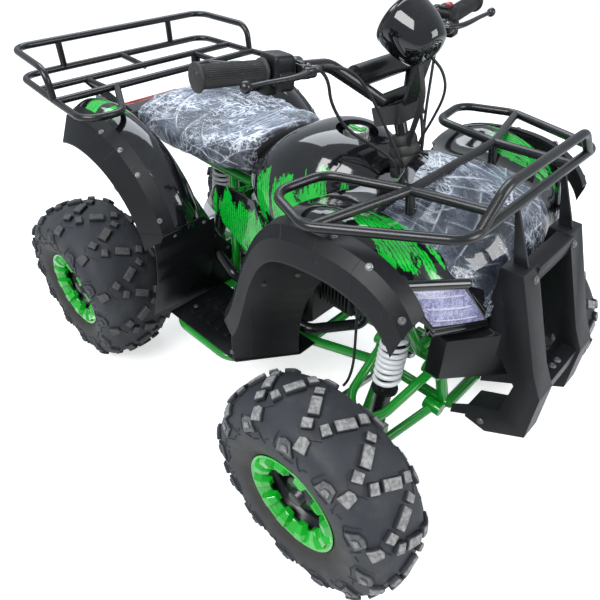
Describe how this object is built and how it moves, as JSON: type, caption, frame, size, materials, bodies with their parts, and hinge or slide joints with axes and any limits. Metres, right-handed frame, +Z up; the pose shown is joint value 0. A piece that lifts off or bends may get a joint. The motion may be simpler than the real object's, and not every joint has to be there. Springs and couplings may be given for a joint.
{
  "type": "quad bike",
  "caption": "Small utility quad bike with front and rear tube racks, saddle, handlebar, wishbone front suspension and a chain-driven rigid rear axle.",
  "frame": {"origin": "on the ground under the middle of the bounding box", "axes": "+X forwards along the vehicle, +Y to its left, +Z up"},
  "size_m": [1.448, 0.944, 1.0458],
  "materials": {
    "frame_green": "green gloss paint",
    "satin_black_steel": "satin black powder coat",
    "black_gloss_plastic": "gloss black",
    "flare_plastic": "grained black",
    "bumper_plastic": "grained charcoal",
    "seat_vinyl": "grained black vinyl",
    "tyre_rubber": "dusty black",
    "grip_rubber": "ribbed black",
    "lamp_lens": "milky blue film over the lens",
    "tail_lens": "red lens",
    "bright_steel": "machined",
    "engine_aluminium": "cast, satin",
    "cap_metal": "satin silver",
    "spring_white": "white paint"
  },
  "bodies": {
    "chassis": {"frame": "frame_green", "upper_arms": "frame_green", "lower_arms": "frame_green", "front_shock_bodies": "satin_black_steel", "front_shock_springs": "spring_white", "rear_shock_body": "satin_black_steel", "rear_shock_spring": "spring_white", "rear_fork": "frame_green", "engine": "engine_aluminium", "exhaust": "satin_black_steel", "front_body": "black_gloss_plastic", "front_flares": "flare_plastic", "front_mud_panels": "flare_plastic", "headlights": "lamp_lens", "tank_cover": "black_gloss_plastic", "fuel_cap": "cap_metal", "side_panels": "black_gloss_plastic", "seat": "seat_vinyl", "rear_body": "black_gloss_plastic", "rear_flares": "flare_plastic", "rear_mud_panels": "flare_plastic", "tail_lamp": "tail_lens", "footboards": "flare_plastic", "front_rack": "satin_black_steel", "rear_rack": "satin_black_steel", "bumper": "bumper_plastic"},
    "handlebar_assembly": {"steering_column": "satin_black_steel", "handlebar": "satin_black_steel", "grips": "grip_rubber", "hand_controls": "flare_plastic", "instrument_pod": "black_gloss_plastic"},
    "knuckle_right": {"knuckle_right": "satin_black_steel"},
    "knuckle_left": {"knuckle_left": "satin_black_steel"},
    "tie_rod_right": {"tie_rod_right": "bright_steel"},
    "tie_rod_left": {"tie_rod_left": "bright_steel"},
    "wheel_front_right": {"tyre_front_right": "tyre_rubber", "rim_front_right": "frame_green"},
    "wheel_front_left": {"tyre_front_left": "tyre_rubber", "rim_front_left": "frame_green"},
    "rear_axle": {"rear_axle": "bright_steel", "tyre_rear_right": "tyre_rubber", "tyre_rear_left": "tyre_rubber", "rim_rear_right": "frame_green", "rim_rear_left": "frame_green"}
  },
  "joints": [
    {"name": "steering", "type": "hinge", "parent": "chassis", "child": "handlebar_assembly", "pos_m": [0.279, 0, 0.865], "axis": [-0.342, 0, 0.9397], "range_deg": [-35, 35]},
    {"name": "kingpin_right", "type": "hinge", "parent": "chassis", "child": "knuckle_right", "pos_m": [0.449, -0.268, 0.241], "axis": [0, 0, 1], "range_deg": [-35, 35]},
    {"name": "tie_rod_end_right", "type": "hinge", "parent": "knuckle_right", "child": "tie_rod_right", "pos_m": [0.374, -0.284, 0.312], "axis": [0, 0, 1], "range_deg": [-35, 35]},
    {"name": "front_wheel_right", "type": "hinge", "parent": "knuckle_right", "child": "wheel_front_right", "pos_m": [0.449, -0.389, 0.241], "axis": [0, 1, 0], "continuous": true},
    {"name": "kingpin_left", "type": "hinge", "parent": "chassis", "child": "knuckle_left", "pos_m": [0.449, 0.268, 0.241], "axis": [0, 0, 1], "range_deg": [-35, 35]},
    {"name": "tie_rod_end_left", "type": "hinge", "parent": "knuckle_left", "child": "tie_rod_left", "pos_m": [0.374, 0.284, 0.312], "axis": [0, 0, 1], "range_deg": [-35, 35]},
    {"name": "front_wheel_left", "type": "hinge", "parent": "knuckle_left", "child": "wheel_front_left", "pos_m": [0.449, 0.389, 0.241], "axis": [0, 1, 0], "continuous": true},
    {"name": "rear_axle_spin", "type": "hinge", "parent": "chassis", "child": "rear_axle", "pos_m": [-0.481, 0, 0.24], "axis": [0, 1, 0], "continuous": true}
  ],
  "couplings": [
    {"joint": "kingpin_right", "follows": "steering", "ratio": 1},
    {"joint": "tie_rod_end_right", "follows": "steering", "ratio": -1},
    {"joint": "kingpin_left", "follows": "steering", "ratio": 1},
    {"joint": "tie_rod_end_left", "follows": "steering", "ratio": -1}
  ]
}
